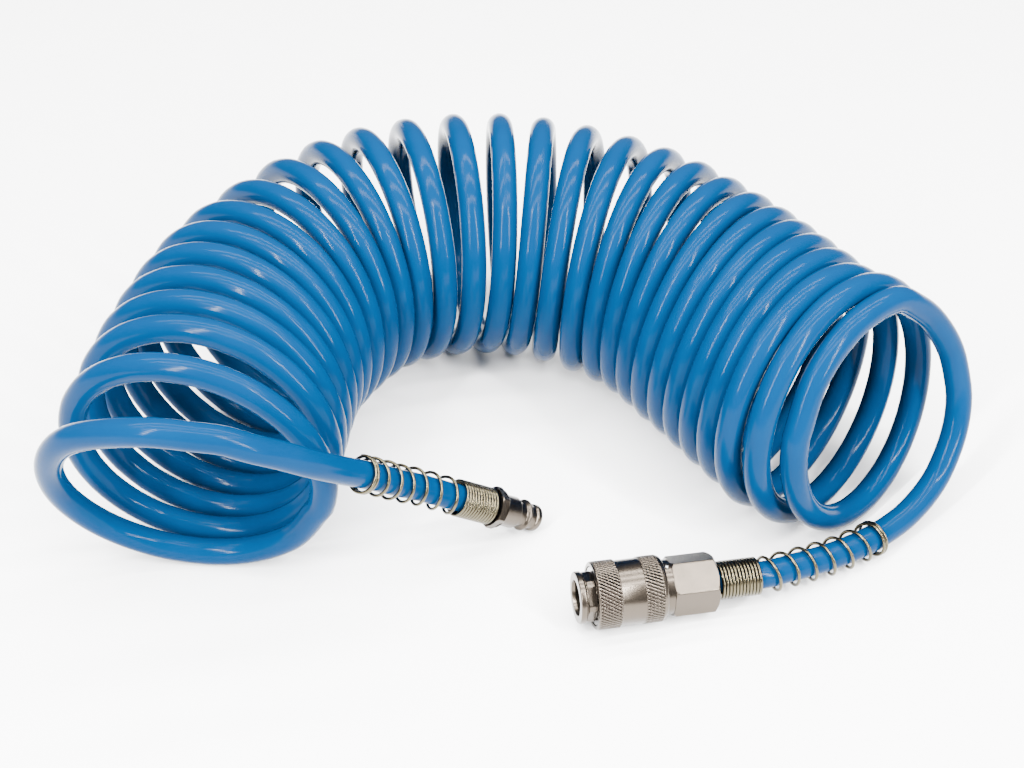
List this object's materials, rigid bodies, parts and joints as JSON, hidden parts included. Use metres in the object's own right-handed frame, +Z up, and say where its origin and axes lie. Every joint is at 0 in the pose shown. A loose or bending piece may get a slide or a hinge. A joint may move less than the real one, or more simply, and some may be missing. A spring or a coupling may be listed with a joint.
{
  "type": "recoil air hose",
  "caption": "Coiled polyurethane air hose with a sleeve-type quick coupler on one end, a male plug on the other, and wire bend guards.",
  "frame": {"origin": "on the floor, under the middle of the box around the two metal fittings and their wire guards, without the hose", "axes": "+X along the coupler from its mouth to the hose, whose end lies 1.7 degrees lower, +Z up from the floor, -Y towards the open side of the U that the coil lies in"},
  "size_m": [0.3456, 0.2468, 0.1015],
  "materials": {
    "hose_blue": "glossy, slightly translucent blue polyurethane",
    "nickel": "satin nickel plate over turned and knurled metal",
    "spring_steel": "plain steel, lightly oiled",
    "zinc_wire": "yellow zinc-plated round wire",
    "black_rubber": "smooth matte black rubber",
    "brass": "turned brass"
  },
  "bodies": {
    "root": {"coupler_body": "nickel", "sleeve_snap_ring": "spring_steel", "socket_seal": "black_rubber", "body_gasket": "black_rubber", "coupler_adapter": "nickel", "neck_ball": "spring_steel", "valve_spring": "spring_steel", "coupler_bend_guard": "zinc_wire", "plug_nipple": "nickel", "plug_bend_guard": "zinc_wire", "hose_coil": "hose_blue", "hose_plug_tail": "hose_blue", "hose_coupler_tail": "hose_blue"},
    "sleeve_spring": {"sleeve_spring": "spring_steel"},
    "sleeve": {"coupler_sleeve": "nickel"},
    "valve": {"valve_poppet": "brass", "valve_seal": "black_rubber"},
    "locking_ball_1": {"locking_ball_1": "spring_steel"},
    "locking_ball_2": {"locking_ball_2": "spring_steel"},
    "locking_ball_3": {"locking_ball_3": "spring_steel"},
    "locking_ball_4": {"locking_ball_4": "spring_steel"}
  },
  "joints": [
    {"name": "sleeve_turn", "type": "hinge", "parent": "root", "child": "sleeve_spring", "pos_m": [-0.02375, -0.0232, 0.0129], "axis": [0.9995, 0, -0.0304], "continuous": true},
    {"name": "sleeve_slide", "type": "slide", "parent": "sleeve_spring", "child": "sleeve", "axis": [0.9995, 0, -0.0304], "range_m": [0, 0.0025], "stiffness_N_per_m": 1500, "springref_m": -0.006, "deforming": ["sleeve_spring"]},
    {"name": "valve_slide", "type": "slide", "parent": "root", "child": "valve", "axis": [0.9995, 0, -0.0304], "range_m": [0, 0.004], "stiffness_N_per_m": 500, "springref_m": -0.006, "deforming": ["valve_spring"]},
    {"name": "locking_ball_1_slide", "type": "slide", "parent": "root", "child": "locking_ball_1", "axis": [-0.0304, 0, -0.9995], "range_m": [0, 0.0009]},
    {"name": "locking_ball_2_slide", "type": "slide", "parent": "root", "child": "locking_ball_2", "axis": [0, 1, 0], "range_m": [0, 0.0009]},
    {"name": "locking_ball_3_slide", "type": "slide", "parent": "root", "child": "locking_ball_3", "axis": [0.0304, 0, 0.9995], "range_m": [0, 0.0009]},
    {"name": "locking_ball_4_slide", "type": "slide", "parent": "root", "child": "locking_ball_4", "axis": [0, -1, 0], "range_m": [0, 0.0009]}
  ],
  "couplings": [
    {"joint": "locking_ball_1_slide", "follows": "sleeve_slide", "ratio": 0.36},
    {"joint": "locking_ball_2_slide", "follows": "sleeve_slide", "ratio": 0.36},
    {"joint": "locking_ball_3_slide", "follows": "sleeve_slide", "ratio": 0.36},
    {"joint": "locking_ball_4_slide", "follows": "sleeve_slide", "ratio": 0.36}
  ]
}
